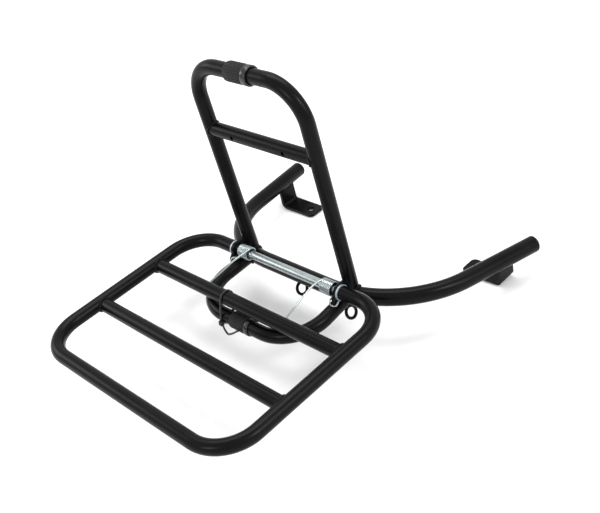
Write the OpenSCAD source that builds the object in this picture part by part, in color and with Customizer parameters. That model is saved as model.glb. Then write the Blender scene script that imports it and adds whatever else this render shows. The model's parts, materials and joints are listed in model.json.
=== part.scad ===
// Folding luggage rack: a bolted-on bent-tube frame with a backrest hoop and a sprung, hinged
// platform. Millimetres, +Z up, +Y towards the mounting arms, X along the hinge.
// The origin is the centre of the two mounting holes, on the underside of the bracket tabs.

/* [Tube] */
// Outside diameter of the platform, hoop and bar tube
light_d = 17.2; // [14:0.1:20]
// Outside diameter of the main frame tube
main_d = 20.4; // [18:0.1:25]
// Wall thickness of every tube
wall = 1.5; // [1:0.1:2.5]

/* [Platform] */
// Platform width between the axes of its side tubes
platform_w = 321; // [260:1:380]
// Platform length from the hinge axis to the axis of the far tube
platform_l = 246.5; // [200:0.5:300]
// Bend radius of the four platform corners, to the tube axis
platform_r = 46; // [30:1:70]
// Distance of the first cross bar from the hinge axis
bar_1_y = 73.4; // [60:0.2:90]
// Distance of the second cross bar from the hinge axis
bar_2_y = 160.8; // [140:0.2:190]
// Drop of the bar axes below the platform plane
bar_drop = 2.5; // [1:0.1:4]

/* [Backrest] */
// Height of the hoop's top axis above the hinge, along the lean
hoop_h = 249.6; // [200:0.2:300]
// Half the distance between the leg axes
hoop_half_w = 84.4; // [70:0.1:100]
// Bend radius of the hoop corners, to the tube axis
hoop_r = 44.8; // [30:0.2:60]
// Lean of the hoop over the platform, in degrees
hoop_lean = 2.8; // [0:0.1:8]
// Height of the crossbar axis on the hoop
crossbar_h = 165; // [120:1:200]
// Distance between the two crossbar holes
crossbar_hole_gap = 81.6; // [60:0.2:120]
// Radius of each crossbar hole
crossbar_hole_r = 2.5; // [1.5:0.1:4]

/* [Main frame] */
// Half width where the cross section and an arm would meet if not bent
main_half_w = 155.3; // [120:0.1:180]
// Bend radius of the main tube, to the tube axis
main_r = 123; // [60:1:140]
// Outward splay of each arm, in degrees
arm_splay = 11.8; // [0:0.1:20]
// Length of each arm from its unbent corner
arm_l = 202; // [160:1:300]
// Downward slope of the arms, in degrees
arm_slope = 5.2; // [0:0.1:12]

/* [Support hoop] */
// Half width where the bottom run and a leg would meet if not bent
support_half_w = 87.3; // [60:0.1:110]
// Bend radius of the support hoop, to the tube axis
support_r = 52; // [30:1:70]
// Rise of the support hoop legs towards the main tube, in degrees
support_slope = 3.9; // [0:0.1:10]

/* [Mounting] */
// Distance between the two mounting hole axes
mount_gap = 281; // [240:1:320]
// Radius of each mounting hole
mount_hole_r = 5; // [3:0.1:6]
// Width of each bracket strap
bracket_w = 26; // [18:0.5:32]
// Thickness of each bracket strap
bracket_t = 4; // [2:0.5:6]

/* [Hinge] */
// Radius of the hinge rod
rod_r = 4; // [3:0.1:5]
// Outside radius of the zinc spacer tube
spacer_r = 5; // [4.5:0.1:6]
// Inside face of each hinge lug, from the middle
lug_x = 84.4; // [70:0.1:90]
// Thickness of each hinge lug
lug_t = 4; // [3:0.5:6]
// Radius of the spring wire
wire_r = 1; // [0.8:0.05:1.3]
// Coil radius of the springs, to the wire axis
coil_r = 7.45; // [7:0.05:9]
// Number of rings in each coil
coil_n = 9; // [6:1:10]

/* [Bumpers] */
// Outside radius of the backrest's rubber sleeve
bumper_r = 11.3; // [10.5:0.1:13]
// Length of the backrest's rubber sleeve
bumper_l = 36; // [25:1:50]
// Outside radius of the support hoop's rubber sleeve
low_bumper_r = 10.5; // [10:0.1:12]
// Length of the support hoop's rubber sleeve
low_bumper_l = 32; // [25:1:50]
// Number of lengthwise ribs
bumper_ribs = 24; // [12:1:36]

/* [Hidden] */
$fn = 48;
light_r = light_d / 2;
tube_r = main_d / 2;
main_y = 15.3;
main_z = -17;
hoop_y = 20.5;
support_y = -80.3;
support_z = -24;
support_splay = -2.96;
support_arm = 99;
hoop_z = hoop_h * cos(hoop_lean);
hoop_top_y = hoop_y - hoop_h * sin(hoop_lean);
bracket_y = 173;
bracket_face = 186;
bracket_under = -66.5;
bend_in = 3;
washer_t = 2.3;
end_gap = 0.3;
loop_end = lug_x + lug_t + 0.1 + washer_t + end_gap;
hook_y = -11.6;
hook_z = -7.7;
ear_r = 2.8;
ear_hole_r = 1.7;
rod_half = 110;
eyelet_r = 7.3;
eyelet_wire = 1.9;
tie_x = -27;
lap = 0.4;
swell = 0.02;
knuckle_r = wire_r * 1.15;
powder = [0.10, 0.10, 0.11];
zinc = [0.72, 0.76, 0.79];
rubber = [0.13, 0.13, 0.13];
nylon = [0.16, 0.16, 0.17];

// Moves the hinge frame so that the mounting holes' centre becomes the origin.
module placed() {
    translate([0, -bracket_y, -bracket_under])
        children();
}

// A straight round bar along +Y.
module run(length, r) {
    rotate([-90, 0, 0])
        cylinder(h = length, r = r);
}

// A bend that starts on +X and turns about +Z.
module bend(bend_radius, angle, r) {
    rotate_extrude(angle = angle)
        translate([bend_radius, 0])
            circle(r);
}

// The bend of a U and the arm that leaves it towards +Y, on the right side. The straight
// reaches a little way into the bend.
module elbow(half_w, bend_radius, splay, arm, r) {
    turn = 90 - splay;
    lead = bend_radius * tan(turn / 2);
    straight = half_w - lead;
    translate([straight, bend_radius, 0])
        rotate([0, 0, -90])
            bend(bend_radius, turn, r);
    translate([straight + bend_radius * cos(splay), bend_radius * (1 - sin(splay)), 0])
        rotate([0, 0, -splay])
            translate([0, -lap, 0])
                run(arm - lead + lap, r + swell);
}

// A solid U: a cross run along X with an elbow at each end.
module u_bar(half_w, bend_radius, splay, arm, r) {
    straight = half_w - bend_radius * tan((90 - splay) / 2) + lap;
    translate([-straight, 0, 0])
        rotate([0, 0, -90])
            run(2 * straight, r + swell);
    elbow(half_w, bend_radius, splay, arm, r);
    mirror([1, 0, 0])
        elbow(half_w, bend_radius, splay, arm, r);
}

module main_shape(r) {
    translate([0, main_y, main_z])
        rotate([-arm_slope, 0, 0])
            u_bar(main_half_w, main_r, arm_splay, arm_l, r);
}

module hoop_shape(r) {
    translate([0, hoop_top_y, hoop_z])
        rotate([-90 + hoop_lean, 0, 0])
            u_bar(hoop_half_w, hoop_r, 0, hoop_h + 11, r);
}

module support_shape(r) {
    translate([0, support_y, support_z])
        rotate([support_slope, 0, 0])
            u_bar(support_half_w, support_r, support_splay, support_arm, r);
}

module main_tube() {
    color(powder)
        difference() {
            main_shape(tube_r);
            main_shape(tube_r - wall);
        }
}

module backrest_hoop() {
    color(powder)
        difference() {
            hoop_shape(light_r);
            hoop_shape(light_r - wall);
            main_shape(tube_r);
        }
}

// The bar between the legs, coped to them, with two small holes on its lower front side.
module backrest_crossbar() {
    color(powder)
        translate([0, hoop_y - crossbar_h * sin(hoop_lean), crossbar_h * cos(hoop_lean)])
            difference() {
                translate([-hoop_half_w + 1, 0, 0])
                    rotate([0, 0, -90])
                        run(2 * hoop_half_w - 2, light_r - 0.2);
                translate([-hoop_half_w, 0, 0])
                    rotate([0, 0, -90])
                        run(2 * hoop_half_w, light_r - 0.2 - wall);
                for (side = [-1, 1]) {
                    translate([side * hoop_half_w, 0, 0])
                        rotate([hoop_lean, 0, 0])
                            cylinder(h = 40, r = light_r, center = true);
                    translate([side * crossbar_hole_gap / 2, 0, 0])
                        rotate([90, 0, 0])
                            cylinder(h = 12, r = crossbar_hole_r);
                }
            }
}

module support_hoop() {
    color(powder)
        difference() {
            support_shape(light_r);
            support_shape(light_r - wall);
            main_shape(tube_r);
        }
}

// The plate that carries the rod, welded to the leg and the main tube, with an ear for the
// spring's hook.
module hinge_lug() {
    difference() {
        translate([lug_x, 0, 0])
            rotate([90, 0, 90])
                difference() {
                    lug_plate();
                    translate([0, 0, -1])
                        cylinder(h = lug_t + 2, r = rod_r + 0.05);
                    translate([hook_y, hook_z, -1])
                        cylinder(h = lug_t + 2, r = ear_hole_r);
                }
        main_shape(tube_r);
        hoop_shape(light_r);
    }
}

// The plate with its neck, its round front end and the ear.
module lug_plate() {
    cylinder(h = lug_t, r = 9.6);
    translate([hook_y, hook_z, 0])
        cylinder(h = lug_t, r = ear_r);
    linear_extrude(lug_t)
        polygon([[-2, 9.2], [20, 10.2], [22, -9.3], [9, -9], [1.5, -5], [-10, -9.7],
            [-13.1, -5.8], [-6.4, 3]]);
}

module hinge_lug_left() {
    color(powder)
        mirror([1, 0, 0])
            hinge_lug();
}

module hinge_lug_right() {
    color(powder)
        hinge_lug();
}

// A bent strap: an upright flange under the arm and a tab that points inwards.
module mounting_bracket() {
    difference() {
        translate([0, bracket_y - bracket_w / 2, bracket_under])
            union() {
                translate([bracket_face - bracket_t, 0, bracket_t + bend_in])
                    cube([bracket_t, bracket_w, 31.5 - bend_in]);
                translate([bracket_face - bracket_t - bend_in, bracket_w, bracket_t + bend_in])
                    rotate([90, 90, 0])
                        bracket_bend();
                bracket_tab();
            }
        translate([mount_gap / 2, bracket_y, bracket_under - 1])
            cylinder(h = bracket_t + 2, r = mount_hole_r);
        main_shape(tube_r);
    }
}

// The quarter bend between flange and tab.
module bracket_bend() {
    linear_extrude(bracket_w)
        intersection() {
            difference() {
                circle(bracket_t + bend_in);
                circle(bend_in);
            }
            square([20, 20]);
        }
}

// The tab, with rounded corners at its free end.
module bracket_tab() {
    tip = 128;
    corner = 6;
    root = bracket_face - bracket_t - bend_in;
    linear_extrude(bracket_t)
        difference() {
            translate([tip, 0])
                square([root - tip, bracket_w]);
            translate([tip, 0])
                difference() {
                    square(corner);
                    translate([corner, corner])
                        circle(corner);
                }
            translate([tip, bracket_w - corner])
                difference() {
                    square(corner);
                    translate([corner, 0])
                        circle(corner);
                }
        }
}

module mounting_bracket_left() {
    color(powder)
        mirror([1, 0, 0])
            mounting_bracket();
}

module mounting_bracket_right() {
    color(powder)
        mounting_bracket();
}

// A wire ring welded under the frame for a luggage strap.
module strap_eyelet(x, y, z) {
    translate([x, y, z])
        rotate([0, 68.6, 0])
            rotate_extrude()
                translate([eyelet_r, 0])
                    circle(eyelet_wire);
}

module strap_eyelet_middle() {
    color(powder)
        difference() {
            strap_eyelet(6, 11.4, -34.8);
            main_shape(tube_r);
        }
}

module strap_eyelet_right() {
    color(powder)
        difference() {
            strap_eyelet(89.5, 7.6, -33.8);
            main_shape(tube_r);
            support_shape(light_r);
        }
}

// A flat plug with a rounded edge that closes an arm's end, with a spigot inside the tube.
module arm_plug() {
    lead = main_r * tan((90 - arm_splay) / 2);
    straight = main_half_w - lead;
    translate([0, main_y, main_z])
        rotate([-arm_slope, 0, 0])
            translate([straight + main_r * cos(arm_splay), main_r * (1 - sin(arm_splay)), 0])
                rotate([0, 0, -arm_splay])
                    translate([0, arm_l - lead, 0])
                        rotate([-90, 0, 0])
                            rotate_extrude()
                                plug_profile();
}

module plug_profile() {
    edge = 2;
    cap = 3;
    translate([0, -14])
        square([tube_r - wall - 0.1, 14]);
    square([tube_r, cap - edge]);
    square([tube_r - edge, cap]);
    intersection() {
        translate([tube_r - edge, cap - edge])
            circle(edge);
        translate([tube_r - edge, cap - edge])
            square(edge);
    }
}

module arm_plug_left() {
    color(rubber)
        mirror([1, 0, 0])
            arm_plug();
}

module arm_plug_right() {
    color(rubber)
        arm_plug();
}

// A rubber sleeve along X with lengthwise ribs and a smooth collar on its right end.
module bumper(length, r, collar) {
    translate([-length / 2, 0, 0])
        rotate([90, 0, 90])
            union() {
                linear_extrude(length - collar)
                    difference() {
                        union() {
                            circle(r - 0.8);
                            for (i = [0:bumper_ribs - 1])
                                rotate(i * 360 / bumper_ribs)
                                    translate([r - 1.6, -0.65])
                                        square([1.5, 1.3]);
                        }
                        circle(light_r + 0.05);
                    }
                translate([0, 0, length - collar])
                    linear_extrude(collar)
                        difference() {
                            circle(r);
                            circle(light_r + 0.05);
                        }
            }
}

module backrest_bumper() {
    color(rubber)
        translate([0, hoop_top_y, hoop_z])
            bumper(bumper_l, bumper_r, 8);
}

module support_bumper() {
    color(rubber)
        translate([2, support_y, support_z])
            bumper(low_bumper_l, low_bumper_r, 6);
}

// The rod runs through both lugs into the bushes in the platform's tube ends.
module hinge_rod() {
    color(zinc)
        translate([-rod_half, 0, 0])
            rotate([0, 90, 0])
                cylinder(h = 2 * rod_half, r = rod_r);
}

module spacer_tube() {
    color(zinc)
        translate([-lug_x + 0.05, 0, 0])
            rotate([90, 0, 90])
                linear_extrude(2 * lug_x - 0.1)
                    difference() {
                        circle(spacer_r);
                        circle(rod_r + 0.1);
                    }
}

module hinge_washer() {
    translate([lug_x + lug_t + 0.05, 0, 0])
        rotate([90, 0, 90])
            linear_extrude(washer_t)
                difference() {
                    circle(9.4);
                    circle(rod_r + 0.1);
                }
}

module hinge_washer_left() {
    color(zinc)
        mirror([1, 0, 0])
            hinge_washer();
}

module hinge_washer_right() {
    color(zinc)
        hinge_washer();
}

// A bush pressed into each inward tube end, running on the rod.
module hinge_bush() {
    translate([loop_end, 0, 0])
        rotate([90, 0, 90])
            linear_extrude(22)
                difference() {
                    circle(light_r - wall - 0.02);
                    circle(rod_r + 0.05);
                }
}

module hinge_bush_left() {
    color(nylon)
        mirror([1, 0, 0])
            hinge_bush();
}

module hinge_bush_right() {
    color(nylon)
        hinge_bush();
}

// The platform: a closed-cornered loop whose two ends face each other along the hinge axis.
module loop_end_bend(r) {
    half = platform_w / 2 - platform_r;
    translate([half, -platform_r, 0])
        bend(platform_r, 90, r);
    translate([loop_end, 0, 0])
        rotate([0, 0, -90])
            run(half - loop_end + lap, r + swell);
}

module loop_shape(r) {
    translate([0, -platform_l, 0])
        u_bar(platform_w / 2, platform_r, 0, platform_l - platform_r + lap, r);
    loop_end_bend(r);
    mirror([1, 0, 0])
        loop_end_bend(r);
}

module platform_loop() {
    color(powder)
        difference() {
            loop_shape(light_r);
            loop_shape(light_r - wall);
        }
}

// A cross bar, coped to the side tubes and set a little below their middle.
module platform_bar(y) {
    difference() {
        translate([-platform_w / 2 + 4, -y, -bar_drop])
            rotate([0, 0, -90])
                run(platform_w - 8, light_r);
        translate([-platform_w / 2, -y, -bar_drop])
            rotate([0, 0, -90])
                run(platform_w, light_r - wall);
        for (side = [-1, 1])
            translate([side * platform_w / 2, -y - 15, 0])
                run(30, light_r);
    }
}

module platform_bar_1() {
    color(powder)
        platform_bar(bar_1_y);
}

module platform_bar_2() {
    color(powder)
        platform_bar(bar_2_y);
}

// A nylon tie looped round the first bar and the support hoop: strap, lock head and tail.
module cable_tie() {
    dy = support_y + bar_1_y;
    dz = support_z + bar_drop;
    span = sqrt(dy * dy + dz * dz);
    tilt = atan2(dz, dy);
    inner = light_r + 0.3;
    outer = inner + 1.1;
    color(nylon)
        translate([tie_x - 1.65, 0, 0])
            rotate([90, 0, 90])
                union() {
                    linear_extrude(3.3)
                        difference() {
                            tie_outline(outer, span, tilt);
                            tie_outline(inner, span, tilt);
                        }
                    translate([support_y, support_z])
                        rotate(-160)
                            translate([outer + 1.5, 0, 1.65])
                                cube([4.6, 7, 6], center = true);
                    translate([support_y, support_z])
                        rotate(-160)
                            translate([outer + 0.6, -19, 1.05])
                                cube([1.1, 17, 1.2]);
                }
}

// Two circles joined by a band that is a hair wider than they are.
module tie_outline(r, span, tilt) {
    translate([-bar_1_y, -bar_drop]) {
        circle(r);
        rotate(tilt) {
            translate([span, 0])
                circle(r);
            translate([0, -r - swell])
                square([span, 2 * r + 2 * swell]);
        }
    }
}

// A torsion spring on the spacer: a close coil, a hook round the lug's ear and a long arm
// that leaves the top of the coil and presses up under the first bar.
module torsion_spring(inner, yaw) {
    arc_r = 136;
    sweep = 30.3;
    for (i = [0:coil_n - 1])
        translate([inner + wire_r + i * 1.9, 0, 0])
            rotate([0, 90, 0])
                rotate_extrude()
                    translate([coil_r, 0])
                        circle(wire_r);
    translate([inner + wire_r, 0, coil_r])
        sphere(knuckle_r);
    translate([inner + wire_r, 0, coil_r])
        rotate([0, 0, yaw])
            translate([0, 0, -arc_r])
                rotate([90, 0, 90])
                    rotate([0, 0, 90])
                        rotate_extrude(angle = sweep)
                            translate([arc_r, 0])
                                circle(wire_r);
    spring_hook(inner + wire_r + (coil_n - 1) * 1.9);
}

// The wire drops from the coil's outer end and passes through the hole in the ear.
module spring_hook(x) {
    tail = lug_x + lug_t + 0.9 - x;
    translate([x, hook_y, hook_z])
        rotate([0, 90, 0])
            cylinder(h = tail, r = wire_r);
    translate([x, hook_y, hook_z])
        sphere(knuckle_r);
    translate([x, hook_y, hook_z])
        rotate([-atan2(-hook_y, -hook_z), 0, 0])
            cylinder(h = 6.2, r = wire_r);
}

module torsion_spring_left() {
    color(zinc)
        mirror([1, 0, 0])
            torsion_spring(60.5, 9.5);
}

module torsion_spring_right() {
    color(zinc)
        torsion_spring(60, 0);
}

placed() main_tube();
placed() backrest_hoop();
placed() backrest_crossbar();
placed() support_hoop();
placed() hinge_lug_left();
placed() hinge_lug_right();
placed() mounting_bracket_left();
placed() mounting_bracket_right();
placed() strap_eyelet_middle();
placed() strap_eyelet_right();
placed() arm_plug_left();
placed() arm_plug_right();
placed() backrest_bumper();
placed() support_bumper();
placed() hinge_rod();
placed() spacer_tube();
placed() hinge_washer_left();
placed() hinge_washer_right();
placed() cable_tie();
placed() platform_loop();
placed() platform_bar_1();
placed() platform_bar_2();
placed() hinge_bush_left();
placed() hinge_bush_right();
placed() torsion_spring_left();
placed() torsion_spring_right();
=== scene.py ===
import json
import math
import random
import bpy
import bmesh
import numpy as np
from mathutils import Matrix, Vector, noise


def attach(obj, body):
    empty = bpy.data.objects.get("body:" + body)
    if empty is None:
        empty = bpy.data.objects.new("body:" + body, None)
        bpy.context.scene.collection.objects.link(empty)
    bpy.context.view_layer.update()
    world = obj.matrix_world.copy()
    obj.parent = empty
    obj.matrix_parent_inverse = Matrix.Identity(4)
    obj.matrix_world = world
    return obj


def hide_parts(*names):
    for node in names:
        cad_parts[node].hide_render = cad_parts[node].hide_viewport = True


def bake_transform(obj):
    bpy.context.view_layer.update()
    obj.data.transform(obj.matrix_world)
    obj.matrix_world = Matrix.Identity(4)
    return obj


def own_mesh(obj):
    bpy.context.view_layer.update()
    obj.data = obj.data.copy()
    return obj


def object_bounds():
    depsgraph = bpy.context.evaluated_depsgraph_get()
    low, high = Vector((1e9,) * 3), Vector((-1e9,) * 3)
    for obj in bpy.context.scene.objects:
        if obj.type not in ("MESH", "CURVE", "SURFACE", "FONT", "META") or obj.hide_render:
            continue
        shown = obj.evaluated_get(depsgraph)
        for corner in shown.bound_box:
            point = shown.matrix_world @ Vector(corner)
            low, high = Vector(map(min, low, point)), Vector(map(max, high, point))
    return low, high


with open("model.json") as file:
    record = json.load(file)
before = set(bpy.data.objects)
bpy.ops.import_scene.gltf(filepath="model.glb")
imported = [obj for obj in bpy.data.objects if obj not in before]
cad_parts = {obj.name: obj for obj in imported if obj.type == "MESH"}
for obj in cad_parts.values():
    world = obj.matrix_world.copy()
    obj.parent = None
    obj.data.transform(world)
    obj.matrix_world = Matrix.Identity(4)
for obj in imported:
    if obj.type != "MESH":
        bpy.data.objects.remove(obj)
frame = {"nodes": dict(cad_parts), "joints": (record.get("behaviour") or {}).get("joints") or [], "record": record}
CAD_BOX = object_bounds()
FOLD = frame["joints"][0]
HINGE = Vector(FOLD["pos_m"])
NODES = frame["nodes"]
TAU = 2 * math.pi
MM = 0.001

# ---- sizes of the CAD model, in millimetres, measured from the hinge axis ----
LIGHT_R, MAIN_R = 8.6, 10.2
MAIN_U = dict(half=155.3, bend=123.0, splay=11.8, arm=202.0, origin=(0, 15.3, -17), tilt=-5.2)
HOOP_U = dict(half=84.4, bend=44.8, splay=0.0, arm=260.6, origin=(0, 8.307, 249.302), tilt=-87.2)
SUPPORT_U = dict(half=87.3, bend=52.0, splay=-2.96, arm=99.0, origin=(0, -80.3, -24.0), tilt=3.9)
PLATFORM_HALF, PLATFORM_FAR = 160.5, -246.5
BAR_Y, BAR_Z = (-73.4, -160.8), -2.5
CROSSBAR = (12.44, 164.8)
CROSSBAR_R = 8.4
SUPPORT_AXIS = (-80.3, -24.0)
HOOP_TOP = (8.307, 249.302)
LUG_X, LUG_T = 84.4, 4.0
COIL_R, WIRE_R = 7.45, 1.1
COIL_TURNS, COIL_PITCH = 7.51, 2.28
COIL_START = math.radians(267.2)
BAR_HALF_INSIDE, CROSSBAR_HALF_INSIDE = 130, 60
WELD_LEAD = 40
TIE_X = -27.0
FLANGE = (182.0, 186.0)
BRACKET_Y = (160.5, 185.5)


def at(x, y, z):
    """A point given in millimetres from the hinge, in the row frame."""
    return HINGE + Vector((x, y, z)) * MM


# ---- materials ----
def new_material(name):
    m = bpy.data.materials.new(name)
    m.use_nodes = True
    nt = m.node_tree
    shader = nt.nodes["Principled BSDF"]
    coord = nt.nodes.new("ShaderNodeTexCoord")
    return m, nt, shader, coord


def noise_node(nt, coord, scale, detail=2.0, rough=0.5, stretch=None):
    n = nt.nodes.new("ShaderNodeTexNoise")
    n.inputs["Scale"].default_value = scale
    n.inputs["Detail"].default_value = detail
    n.inputs["Roughness"].default_value = rough
    if stretch:
        mp = nt.nodes.new("ShaderNodeMapping")
        mp.inputs["Scale"].default_value = stretch
        nt.links.new(coord.outputs["Object"], mp.inputs["Vector"])
        nt.links.new(mp.outputs["Vector"], n.inputs["Vector"])
    else:
        nt.links.new(coord.outputs["Object"], n.inputs["Vector"])
    return n


def ramp(nt, source, stops):
    r = nt.nodes.new("ShaderNodeValToRGB")
    while len(r.color_ramp.elements) < len(stops):
        r.color_ramp.elements.new(0.5)
    for e, (pos, col) in zip(r.color_ramp.elements, stops):
        e.position = pos
        e.color = (*col, 1.0) if len(col) == 3 else col
    nt.links.new(source, r.inputs["Fac"])
    return r


def grey(v):
    return (v, v, v)


def bump(nt, shader, heights, strengths, distance):
    previous = None
    for h, s in zip(heights, strengths):
        b = nt.nodes.new("ShaderNodeBump")
        b.inputs["Strength"].default_value = s
        b.inputs["Distance"].default_value = distance
        nt.links.new(h, b.inputs["Height"])
        if previous is not None:
            nt.links.new(previous.outputs["Normal"], b.inputs["Normal"])
        previous = b
    nt.links.new(previous.outputs["Normal"], shader.inputs["Normal"])


def powder_material():
    m, nt, shader, coord = new_material("powder_coat_black")
    peel = noise_node(nt, coord, 620, 3.0, 0.55)
    grain = noise_node(nt, coord, 2600, 2.0, 0.6)
    cloud = noise_node(nt, coord, 26, 4.0, 0.6)
    tint = ramp(nt, cloud.outputs["Fac"], [(0.3, (0.0026, 0.0027, 0.0030)), (0.75, (0.0048, 0.0048, 0.0052))])
    speck = ramp(nt, grain.outputs["Fac"], [(0.62, grey(0.0)), (0.8, grey(0.35))])
    mix = nt.nodes.new("ShaderNodeMix")
    mix.data_type = "RGBA"
    nt.links.new(speck.outputs["Color"], mix.inputs["Factor"])
    nt.links.new(tint.outputs["Color"], mix.inputs["A"])
    mix.inputs["B"].default_value = (0.014, 0.014, 0.015, 1.0)
    nt.links.new(mix.outputs["Result"], shader.inputs["Base Color"])
    gloss = ramp(nt, cloud.outputs["Fac"], [(0.25, grey(0.22)), (0.8, grey(0.30))])
    nt.links.new(gloss.outputs["Color"], shader.inputs["Roughness"])
    bump(nt, shader, [peel.outputs["Fac"], grain.outputs["Fac"]], [0.14, 0.08], 0.0004)
    shader.inputs["Specular IOR Level"].default_value = 0.09
    return m


def zinc_material():
    m, nt, shader, coord = new_material("zinc_plate")
    drawn = noise_node(nt, coord, 300, 2.0, 0.5, stretch=(0.05, 1.0, 1.0))
    cloud = noise_node(nt, coord, 90, 3.0, 0.55)
    blues = [(0.3, (0.37, 0.42, 0.43)), (0.55, (0.42, 0.47, 0.475)), (0.8, (0.47, 0.51, 0.51))]
    tint = ramp(nt, cloud.outputs["Fac"], blues)
    nt.links.new(tint.outputs["Color"], shader.inputs["Base Color"])
    gloss = ramp(nt, drawn.outputs["Fac"], [(0.3, grey(0.18)), (0.8, grey(0.26))])
    nt.links.new(gloss.outputs["Color"], shader.inputs["Roughness"])
    bump(nt, shader, [drawn.outputs["Fac"]], [0.012], 0.0001)
    shader.inputs["Metallic"].default_value = 1.0
    return m


def washer_material():
    m, nt, shader, coord = new_material("pale_washer")
    fine = noise_node(nt, coord, 700, 2.0, 0.5)
    tint = ramp(nt, fine.outputs["Fac"], [(0.3, (0.36, 0.41, 0.45)), (0.8, (0.44, 0.49, 0.53))])
    nt.links.new(tint.outputs["Color"], shader.inputs["Base Color"])
    gloss = ramp(nt, fine.outputs["Fac"], [(0.3, grey(0.40)), (0.8, grey(0.50))])
    nt.links.new(gloss.outputs["Color"], shader.inputs["Roughness"])
    bump(nt, shader, [fine.outputs["Fac"]], [0.05], 0.0002)
    shader.inputs["Metallic"].default_value = 0.5
    return m


def rubber_material():
    m, nt, shader, coord = new_material("moulded_rubber")
    fine = noise_node(nt, coord, 1500, 3.0, 0.6)
    cloud = noise_node(nt, coord, 70, 3.0, 0.6)
    tint = ramp(nt, cloud.outputs["Fac"], [(0.3, grey(0.006)), (0.8, grey(0.011))])
    nt.links.new(tint.outputs["Color"], shader.inputs["Base Color"])
    gloss = ramp(nt, fine.outputs["Fac"], [(0.3, grey(0.40)), (0.8, grey(0.56))])
    nt.links.new(gloss.outputs["Color"], shader.inputs["Roughness"])
    bump(nt, shader, [fine.outputs["Fac"]], [0.12], 0.0003)
    shader.inputs["Specular IOR Level"].default_value = 0.16
    return m


def collar_material():
    m, nt, shader, coord = new_material("smooth_rubber")
    fine = noise_node(nt, coord, 900, 2.0, 0.5)
    tint = ramp(nt, fine.outputs["Fac"], [(0.3, grey(0.006)), (0.8, grey(0.010))])
    nt.links.new(tint.outputs["Color"], shader.inputs["Base Color"])
    gloss = ramp(nt, fine.outputs["Fac"], [(0.3, grey(0.15)), (0.8, grey(0.20))])
    nt.links.new(gloss.outputs["Color"], shader.inputs["Roughness"])
    bump(nt, shader, [fine.outputs["Fac"]], [0.02], 0.0002)
    shader.inputs["Specular IOR Level"].default_value = 0.55
    return m


def nylon_material():
    m, nt, shader, coord = new_material("black_nylon")
    fine = noise_node(nt, coord, 1100, 2.0, 0.5)
    cloud = noise_node(nt, coord, 120, 3.0, 0.5)
    tint = ramp(nt, cloud.outputs["Fac"], [(0.3, grey(0.006)), (0.8, grey(0.011))])
    nt.links.new(tint.outputs["Color"], shader.inputs["Base Color"])
    gloss = ramp(nt, fine.outputs["Fac"], [(0.3, grey(0.30)), (0.8, grey(0.44))])
    nt.links.new(gloss.outputs["Color"], shader.inputs["Roughness"])
    bump(nt, shader, [fine.outputs["Fac"]], [0.08], 0.0003)
    shader.inputs["Specular IOR Level"].default_value = 0.25
    return m


POWDER, ZINC, RUBBER, NYLON = powder_material(), zinc_material(), rubber_material(), nylon_material()
WASHER, COLLAR = washer_material(), collar_material()
BY_SLOT = {"powder_coat": POWDER, "zinc": ZINC, "rubber": RUBBER, "nylon": NYLON}
for part in frame["record"]["subparts"]:
    obj = NODES[part["node"]]
    for slot in obj.material_slots:
        slot.material = WASHER if "washer" in part["node"] else BY_SLOT[part["material_slot"]]


# ---- mesh helpers ----
def make_piece(name, verts, faces, slot_name, body=None, smooth=True, stands_for=()):
    """A mesh piece from points in the row frame."""
    mesh = bpy.data.meshes.new(name)
    mesh.from_pydata([tuple(v) for v in verts], [], faces)
    bm = bmesh.new()
    bm.from_mesh(mesh)
    bmesh.ops.recalc_face_normals(bm, faces=bm.faces)
    bm.to_mesh(mesh)
    bm.free()
    mesh.polygons.foreach_set("use_smooth", [smooth] * len(mesh.polygons))
    obj = bpy.data.objects.new(name, mesh)
    bpy.context.scene.collection.objects.link(obj)
    mesh.materials.append(BY_SLOT[slot_name])
    if body:
        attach(obj, body)
    if stands_for:
        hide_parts(*stands_for)
    return obj


def smooth_path(points, per_span):
    """A Catmull-Rom curve through the points."""
    pts = [2 * points[0] - points[1]] + list(points) + [2 * points[-1] - points[-2]]
    out = []
    for i in range(1, len(pts) - 2):
        p0, p1, p2, p3 = pts[i - 1:i + 3]
        for k in range(per_span):
            t = k / per_span
            out.append(0.5 * (2 * p1 + (p2 - p0) * t + (2 * p0 - 5 * p1 + 4 * p2 - p3) * t * t
                              + (3 * p1 - p0 - 3 * p2 + p3) * t ** 3))
    out.append(points[-1])
    return out


def frames_along(path, closed=False):
    """Tangent and two side directions at each point, carried along without twist."""
    n = len(path)
    tangents = []
    for i in range(n):
        a = path[(i - 1) % n] if closed or i > 0 else path[i]
        b = path[(i + 1) % n] if closed or i < n - 1 else path[i]
        tangents.append((b - a).normalized())
    side = tangents[0].orthogonal().normalized()
    sides = []
    for t in tangents:
        side = (side - t * side.dot(t)).normalized()
        sides.append(side.copy())
    if closed:
        end = (sides[-1] - tangents[0] * sides[-1].dot(tangents[0])).normalized()
        slip = math.atan2(tangents[0].dot(end.cross(sides[0])), end.dot(sides[0]))
        for i in range(n):
            sides[i] = Matrix.Rotation(slip * i / n, 3, tangents[i]) @ sides[i]
    return [(t, s, t.cross(s)) for t, s in zip(tangents, sides)]


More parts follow.
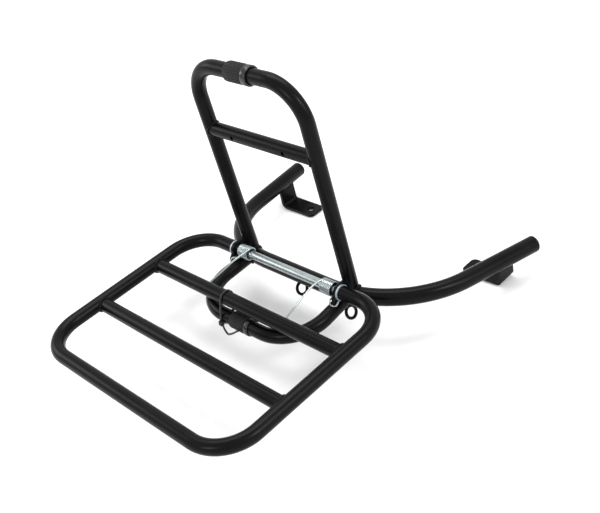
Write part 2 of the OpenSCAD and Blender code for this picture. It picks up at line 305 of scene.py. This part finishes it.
def sweep_round(path, radius, sides=16, closed=False):
    """A round bar along a path; radius is a number or a function of index. Ends are domed."""
    r_of = radius if callable(radius) else (lambda i: radius)
    rings = []
    frames = frames_along(path, closed)
    if not closed:
        for k in (0.25, 0.6, 0.88):
            t, s, u = frames[0]
            r = r_of(0)
            rings.append((path[0] - t * r * math.sqrt(1 - k * k), s, u, r * k))
    for i, (t, s, u) in enumerate(frames):
        rings.append((path[i], s, u, r_of(i)))
    if not closed:
        for k in (0.88, 0.6, 0.25):
            t, s, u = frames[-1]
            r = r_of(len(path) - 1)
            rings.append((path[-1] + t * r * math.sqrt(1 - k * k), s, u, r * k))
    verts, faces = [], []
    for c, s, u, r in rings:
        for j in range(sides):
            a = TAU * j / sides
            verts.append(c + (s * math.cos(a) + u * math.sin(a)) * r)
    count = len(rings)
    for i in range(count if closed else count - 1):
        for j in range(sides):
            a, b = i * sides + j, i * sides + (j + 1) % sides
            k = ((i + 1) % count) * sides
            faces.append((a, b, k + (j + 1) % sides, k + j))
    if not closed:
        faces.append(tuple(range(sides)))
        faces.append(tuple((count - 1) * sides + j for j in reversed(range(sides))))
    return verts, faces


def sweep_strap(path, across, width, thick, corner=0.25):
    """A flat strap along a path. across gives the width direction at each point."""
    verts, faces = [], []
    w, h = width / 2, thick / 2
    c = corner
    outline = [(-w + c, -h), (w - c, -h), (w, -h + c), (w, h - c),
               (w - c, h), (-w + c, h), (-w, h - c), (-w, -h + c)]
    n = len(outline)
    frames = frames_along(path)
    for i, (t, _, _) in enumerate(frames):
        a = across(i)
        a = (a - t * a.dot(t)).normalized()
        up = a.cross(t)
        for x, y in outline:
            verts.append(path[i] + (a * x + up * y) * MM)
    for i in range(len(path) - 1):
        for j in range(n):
            k = (j + 1) % n
            faces.append((i * n + j, i * n + k, (i + 1) * n + k, (i + 1) * n + j))
    faces.append(tuple(range(n)))
    faces.append(tuple((len(path) - 1) * n + j for j in reversed(range(n))))
    return verts, faces


# ---- tube axes, as the CAD model bends them ----
def u_axis(half, bend, splay, arm, origin, tilt, side, step=3.0):
    """One side of a U-shaped tube's axis, from the middle of the cross run to the arm's end."""
    turn = math.radians(90 - splay)
    lead = bend * math.tan(turn / 2)
    straight = half - lead
    flat = [(x, 0.0) for x in np.arange(0, straight, step)]
    count = max(int(bend * turn / step), 8)
    flat += [(straight + bend * math.sin(turn * k / count), bend - bend * math.cos(turn * k / count))
             for k in range(count + 1)]
    s = math.radians(splay)
    x0, y0 = flat[-1]
    rest = arm - lead
    runs = np.linspace(step, rest, max(int(rest / step), 2))
    flat += [(x0 + math.sin(s) * d, y0 + math.cos(s) * d) for d in runs]
    c, n = math.cos(math.radians(tilt)), math.sin(math.radians(tilt))
    return np.array([(side * x + origin[0], y * c + origin[1], y * n + origin[2]) for x, y in flat])


def distance_to(points, axis):
    """Distance of each point from a polyline."""
    a, b = axis[:-1], axis[1:]
    d = b - a
    t = np.einsum("pij,ij->pi", points[:, None, :] - a[None], d) / np.einsum("ij,ij->i", d, d)
    t = np.clip(t, 0, 1)
    near = a[None] + t[..., None] * d[None]
    return np.linalg.norm(points[:, None, :] - near, axis=2).min(axis=1)


def seam(start, direction, r, axis, other_r, reach, count=72):
    """Where a round bar's surface meets another tube: from outside, along the bar."""
    d = np.array(direction, float)
    d /= np.linalg.norm(d)
    s = np.cross(d, (0, 0, 1) if abs(d[2]) < 0.8 else (0, 1, 0))
    s /= np.linalg.norm(s)
    u = np.cross(d, s)
    ts = np.linspace(0, reach, 240)
    out = []
    for k in range(count):
        a = TAU * k / count
        base = np.array(start, float) + (s * math.cos(a) + u * math.sin(a)) * r
        dist = distance_to(base[None] + ts[:, None] * d[None], axis)
        inside = np.nonzero(dist < other_r)[0]
        t = ts[inside[0]] if len(inside) else ts[int(np.argmin(dist))]
        out.append(base + d * t)
    return out


# ---- weld beads ----
random.seed(7)


def weld(name, points, body, size=1.9, pitch=2.1, closed=True):
    """A rippled bead along a seam, points in millimetres from the hinge."""
    pts = [at(*p) for p in points]
    if closed:
        pts.append(pts[0])
    lengths = [0.0]
    for a, b in zip(pts[:-1], pts[1:]):
        lengths.append(lengths[-1] + (b - a).length)
    total = lengths[-1]
    ripples = max(int(total * 1000 / pitch), 4)
    count = ripples * 6
    path = []
    for k in range(count if closed else count + 1):
        s = total * k / count
        i = max(j for j in range(len(lengths)) if lengths[j] <= s + 1e-12)
        i = min(i, len(pts) - 2)
        span = lengths[i + 1] - lengths[i]
        path.append(pts[i].lerp(pts[i + 1], (s - lengths[i]) / span if span else 0))
    for _ in range(3):
        soft = list(path)
        for i in range(len(path)):
            if closed or 0 < i < len(path) - 1:
                soft[i] = (path[i - 1] + path[i] * 2 + path[(i + 1) % len(path)]) / 4
        path = soft
    seed = random.random() * 50
    swell = [1 + 0.13 * math.cos(TAU * k / 6) + 0.10 * noise.noise(Vector((k * 0.11, seed, 0)))
             for k in range(len(path))]
    if closed:
        blend_n = 10
        for k in range(blend_n):
            f = k / blend_n
            swell[-blend_n + k] = swell[-blend_n + k] * (1 - f) + swell[0] * f
    else:
        for k in range(len(path)):
            edge = min(k, len(path) - 1 - k) / 8
            swell[k] *= min(1.0, 0.45 + 0.55 * edge)
    verts, faces = sweep_round(path, lambda i: size * MM * swell[i], sides=12, closed=closed)
    return make_piece(name, verts, faces, "powder_coat", body)


main_axis = {s: u_axis(side=s, **MAIN_U) for s in (-1, 1)}
hoop_axis = {s: u_axis(side=s, **HOOP_U) for s in (-1, 1)}
SIDES = (("left", -1), ("right", 1))

for label, s in SIDES:
    rail = np.array([(s * PLATFORM_HALF, PLATFORM_FAR + 40, 0.0), (s * PLATFORM_HALF, -30.0, 0.0)])
    for number, y in enumerate(BAR_Y, 1):
        ring = seam((s * BAR_HALF_INSIDE, y, BAR_Z), (s, 0, 0), LIGHT_R, rail, LIGHT_R + 0.1, 27)
        weld(f"weld_bar_{number}_{label}", ring, "platform", size=1.8)
    y, z = CROSSBAR
    ring = seam((s * CROSSBAR_HALF_INSIDE, y, z), (s, 0, 0), CROSSBAR_R, hoop_axis[s], LIGHT_R + 0.1, 24.2)
    weld(f"weld_crossbar_{label}", ring, "frame", size=1.6)
    down = hoop_axis[s][-1] - hoop_axis[s][-4]
    start = hoop_axis[s][-1] - down / np.linalg.norm(down) * WELD_LEAD
    ring = seam(start, down, LIGHT_R, main_axis[s], MAIN_R + 0.1, 46)
    weld(f"weld_leg_{label}", ring, "frame", size=2.3)
    support_axis = u_axis(side=s, **SUPPORT_U)
    ahead = support_axis[-1] - support_axis[-4]
    start = support_axis[-1] - ahead / np.linalg.norm(ahead) * WELD_LEAD
    ring = seam(start, ahead, LIGHT_R, main_axis[s], MAIN_R + 0.1, 46)
    weld(f"weld_support_{label}", ring, "frame", size=2.0)
    # the hinge lug: along the leg on both faces of the plate
    for face, x, y0 in (("inner", LUG_X, 12.0), ("outer", LUG_X + LUG_T, 13.0)):
        line = [(s * x, y0 - 0.049 * z, z) for z in np.linspace(9.5, -8, 12)]
        weld(f"weld_lug_{label}_{face}", line, "frame", size=1.5, closed=False)
    # the bracket's flange, along the arm on both faces
    for face, x in (("inner", FLANGE[0]), ("outer", FLANGE[1])):
        line = []
        for y in np.linspace(BRACKET_Y[0], BRACKET_Y[1], 14):
            zs = np.linspace(-60, -30, 200)
            pts = np.array([(s * x, y, z) for z in zs])
            inside = np.nonzero(distance_to(pts, main_axis[s]) < MAIN_R + 0.2)[0]
            line.append((s * x, y, zs[inside[0]]))
        weld(f"weld_bracket_{label}_{face}", line, "frame", size=1.8, closed=False)


# ---- torsion springs: one wire from the hook through the coil to the arm ----
HOOK = [(89.8, -7.7, -7.3), (89.9, -9.8, -8.9), (89.4, -11.8, -10.6), (87.4, -13.9, -10.9),
        (85.4, -15.5, -9.4), (84.3, -15.6, -6.6), (83.1, -13.8, -4.4), (81.4, -10.2, -5.4)]


def spring(name, side, inner, arm_points, node):
    """The hook round the lug's ear, the coil from its foot upwards, then the arm."""
    turns, pitch = COIL_TURNS, COIL_PITCH
    outer_x = inner + WIRE_R + turns * pitch
    low = Vector((outer_x, COIL_R * math.cos(COIL_START), COIL_R * math.sin(COIL_START)))
    lead = smooth_path([Vector(p) for p in HOOK] + [low + Vector((0.9, -3.2, -0.05)), low], 7)
    coil = []
    count = int(turns * 40)
    for k in range(1, count + 1):
        a = COIL_START + TAU * turns * k / count
        x = outer_x - pitch * turns * k / count
        coil.append(Vector((x, COIL_R * math.cos(a), COIL_R * math.sin(a))))
    arm = smooth_path([coil[-1]] + [Vector(p) for p in arm_points], 8)[1:]
    path = [at(side * p.x, p.y, p.z) for p in lead + coil + arm]
    verts, faces = sweep_round(path, WIRE_R * MM, sides=14)
    obj = make_piece(name, verts, faces, "zinc")
    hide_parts(node)
    return obj


RIGHT_ARM = [(60.4, -4.2, 7.45), (60.0, -11.5, 7.7), (60.0, -19.1, 7.2), (60.0, -27.8, 5.5),
             (59.8, -37.5, 2.6), (59.5, -48.2, -0.8), (59.0, -59.5, -5.6), (59.0, -65.0, -9.0),
             (59.0, -68.6, -10.95)]
LEFT_ARM = [(62.2, -16.0, 7.4), (64.8, -30.0, 4.9), (68.3, -43.0, 0.3), (71.2, -53.3, -3.3),
            (73.5, -60.5, -6.5), (75.0, -65.0, -9.0), (76.0, -68.6, -10.95)]
right_spring = spring("spring_right", 1, 60.0, RIGHT_ARM, "torsion_spring_right")
left_spring = spring("spring_left", -1, 60.5, LEFT_ARM, "torsion_spring_left")
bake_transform(right_spring)
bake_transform(left_spring)


# ---- rubber sleeves ----
def lathe_rings(stations, count, centre, radius_of):
    """A closed skin about the X direction through centre, from (x, r, rib) stations."""
    verts, faces = [], []
    for x, r, rib in stations:
        for j in range(count):
            a = TAU * j / count
            radius = radius_of(r, rib, a)
            y, z = radius * math.cos(a), radius * math.sin(a)
            verts.append(at(centre[0] + x, centre[1] + y, centre[2] + z))
    rows = len(stations)
    for i in range(rows):
        for j in range(count):
            k, n = (j + 1) % count, (i + 1) % rows
            faces.append((i * count + j, i * count + k, n * count + k, n * count + j))
    return verts, faces


def sleeve(name, node, centre, half, base, top, collar, collar_r):
    """Lengthwise ribs along most of the length, then a smooth collar with rounded edges."""
    ribs, bore, step = 24, LIGHT_R + 0.06, half - collar
    body = [(-half, bore, 0), (-half, bore + 0.5, 0), (-half + 0.4, base - 0.35, 0),
            (-half + 1.0, base, 0.4), (-half + 1.6, base, 1.0), (-half * 0.4, base, 1.0),
            (step - 2.4, base, 1.0), (step - 1.0, base, 0.8), (step - 0.3, base, 0.3),
            (step + 0.3, base - 0.1, 0), (step + 0.3, bore, 0)]
    ridge = lambda r, rib, a: r + (top - base) * (0.5 + 0.5 * math.cos(a * ribs)) ** 0.55 * rib
    verts, faces = lathe_rings(body, ribs * 8, centre, ridge)
    make_piece(name, verts, faces, "rubber", "frame", stands_for=(node,))
    ring = [(step, bore, 0), (step, base - 0.2, 0), (step + 0.35, collar_r - 0.4, 0),
            (step + 1.0, collar_r - 0.05, 0), (step + 1.8, collar_r, 0), (half - 1.4, collar_r, 0),
            (half - 0.6, collar_r - 0.2, 0), (half - 0.15, collar_r - 0.7, 0),
            (half, collar_r - 1.2, 0), (half, bore, 0)]
    verts, faces = lathe_rings(ring, 96, centre, lambda r, rib, a: r)
    obj = make_piece(name + "_collar", verts, faces, "rubber", "frame", stands_for=(node,))
    obj.data.materials[0] = COLLAR


sleeve("sleeve_backrest", "backrest_bumper", (0, *HOOP_TOP), 18.0, 10.45, 11.25, 8.0, 11.3)
sleeve("sleeve_support", "support_bumper", (2, *SUPPORT_AXIS), 16.0, 9.75, 10.4, 6.0, 10.5)


# ---- cable tie: a strap round the first bar and the support hoop ----
TIE_R, TIE_SPAN = 9.45, 22.58
TIE_LEAN = (6.9 / TIE_SPAN, 21.5 / TIE_SPAN)


def tie_point(along, lateral):
    """A point in the tie's own plane: along from the support hoop's axis towards the bar's."""
    ay, az = TIE_LEAN
    y, z = SUPPORT_AXIS
    return at(TIE_X, y + ay * along + az * lateral, z + az * along - ay * lateral)


STRAP_W, STRAP_T = 3.3, 1.1
TAIL_W, TAIL_T = 2.5, 1.2


def across_x(i):
    return Vector((1, 0, 0))


upper = [tie_point(d, TIE_R) for d in np.linspace(0, TIE_SPAN, 12)]
upper += [tie_point(TIE_SPAN + TIE_R * math.sin(a), TIE_R * math.cos(a))
          for a in np.linspace(0, math.pi, 28)[1:-1]]
upper += [tie_point(d, -TIE_R) for d in np.linspace(TIE_SPAN, 0, 12)]
verts, faces = sweep_strap(upper, across_x, STRAP_W, STRAP_T)
tie_upper = make_piece("tie_strap_upper", verts, faces, "nylon", "frame")
lower = [tie_point(-TIE_R * math.sin(a), -TIE_R * math.cos(a)) for a in np.linspace(0, math.pi, 28)]
verts, faces = sweep_strap(lower, across_x, STRAP_W, STRAP_T)
make_piece("tie_strap_lower", verts, faces, "nylon", "frame", stands_for=("cable_tie",))
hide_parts("cable_tie")

TAIL = [(-26.4, -89.4, -25.0), (-25.6, -90.4, -29.5), (-24.6, -90.8, -35.0), (-22.9, -90.6, -40.2),
        (-20.0, -91.0, -41.6), (-15.0, -91.6, -39.4), (-6.0, -92.4, -33.2), (1.5, -93.0, -27.2),
        (7.6, -93.2, -22.5)]
tail = smooth_path([at(*p) for p in TAIL], 6)


def tail_across(i):
    """The tail turns from lying flat across X to standing on edge."""
    f = min(1.0, i / (len(tail) * 0.55))
    return Vector((1 - f, 0.45 * f, 0.89 * f)).normalized()


verts, faces = sweep_strap(tail, tail_across, TAIL_W, TAIL_T)
make_piece("tie_tail", verts, faces, "nylon", "frame")


def rounded_block(name, centre, size, tilt, slot_name, body, edge=0.7):
    """A box with rounded edges and a slot sunk into its top, for the tie's lock."""
    bm = bmesh.new()
    bmesh.ops.create_cube(bm, size=1.0)
    bmesh.ops.scale(bm, vec=[c * MM for c in size], verts=bm.verts)
    top = [f for f in bm.faces if f.normal.z > 0.9]
    bmesh.ops.inset_region(bm, faces=top, thickness=0.0011, depth=0)
    bmesh.ops.translate(bm, vec=(0, 0, -0.0016), verts=list({v for f in top for v in f.verts}))
    outer = [e for e in bm.edges if e.calc_face_angle(0) > 1.0 and e.calc_length() > size[1] * 0.0007]
    bmesh.ops.bevel(bm, geom=outer, offset=edge * MM, segments=3, profile=0.6, affect="EDGES",
                    clamp_overlap=True)
    turn = Matrix.Rotation(math.radians(tilt), 4, "X")
    bmesh.ops.transform(bm, matrix=Matrix.Translation(centre) @ turn, verts=bm.verts)
    mesh = bpy.data.meshes.new(name)
    bm.to_mesh(mesh)
    bm.free()
    mesh.polygons.foreach_set("use_smooth", [True] * len(mesh.polygons))
    obj = bpy.data.objects.new(name, mesh)
    bpy.context.scene.collection.objects.link(obj)
    mesh.materials.append(BY_SLOT[slot_name])
    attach(obj, body)


rounded_block("tie_lock", at(-26.6, -90.8, -27.9), (5.6, 4.6, 6.0), -14, "nylon", "frame")
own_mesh(tie_upper)


# ---- eyelet welds ----
MIDDLE_BEAD = [(3.3 + k * 0.1, 8.6 + k * 0.8, -26.7) for k in range(9)]
RIGHT_BEAD = [(86.7 + k * 0.05, 4.2 + k * 0.8, -25.7) for k in range(9)]
weld("weld_eyelet_middle", MIDDLE_BEAD, "frame", size=1.6, closed=False)
weld("weld_eyelet_right", RIGHT_BEAD, "frame", size=1.5, closed=False)


# ---- floor, light and camera ----
def floor():
    mesh = bpy.data.meshes.new("floor")
    bm = bmesh.new()
    bmesh.ops.create_grid(bm, x_segments=1, y_segments=1, size=6.0)
    bm.to_mesh(mesh)
    bm.free()
    obj = bpy.data.objects.new("floor", mesh)
    bpy.context.scene.collection.objects.link(obj)
    obj.location = (0, 0, CAD_BOX[0].z - 0.0015)
    m, nt, shader, coord = new_material("pale_floor")
    fine = noise_node(nt, coord, 40, 3.0, 0.5)
    tint = ramp(nt, fine.outputs["Fac"], [(0.3, grey(0.90)), (0.8, grey(0.93))])
    nt.links.new(tint.outputs["Color"], shader.inputs["Base Color"])
    shader.inputs["Roughness"].default_value = 0.9
    shader.inputs["Specular IOR Level"].default_value = 0.1
    mesh.materials.append(m)


def area_light(name, location, target, size, power):
    data = bpy.data.lights.new(name, "AREA")
    data.shape = "RECTANGLE"
    data.size, data.size_y = size
    data.energy = power
    obj = bpy.data.objects.new(name, data)
    bpy.context.scene.collection.objects.link(obj)
    obj.location = location
    obj.rotation_mode = "QUATERNION"
    obj.rotation_quaternion = (Vector(target) - Vector(location)).to_track_quat("-Z", "Y")


floor()
world = bpy.data.worlds.new("studio")
world.use_nodes = True
background = world.node_tree.nodes["Background"]
background.inputs["Color"].default_value = (1.0, 1.0, 1.0, 1.0)
background.inputs["Strength"].default_value = 0.92
bpy.context.scene.world = world
MIDDLE = (0, -0.15, 0.1)
area_light("key_top", (-0.5, 0.5, 2.2), MIDDLE, (2.0, 1.1), 30)
area_light("fill_left", (-2.2, -1.2, 1.3), MIDDLE, (1.2, 0.9), 14)
area_light("fill_right", (2.2, 0.6, 1.2), MIDDLE, (0.9, 1.2), 11)
area_light("glint_right", (1.7, 0.1, 1.5), MIDDLE, (0.45, 0.45), 11)
area_light("glint_near", (0.2, -2.0, 1.1), MIDDLE, (0.5, 0.35), 8)

camera_data = bpy.data.cameras.new("camera")
camera_data.sensor_width = 36.0
camera_data.lens = 55.54
camera_data.clip_start, camera_data.clip_end = 0.01, 50
camera = bpy.data.objects.new("camera", camera_data)
bpy.context.scene.collection.objects.link(camera)
right = Vector((0.7023, 0.6821, -0.2039))
up = Vector((-0.2849, 0.5318, 0.7975))
back = right.cross(up)
turn = Matrix((right, up, back)).transposed().to_4x4()
camera.matrix_world = Matrix.Translation((0.71927, -0.70171, 0.69435)) @ turn
bpy.context.scene.camera = camera
bpy.context.scene.view_settings.view_transform = "Standard"
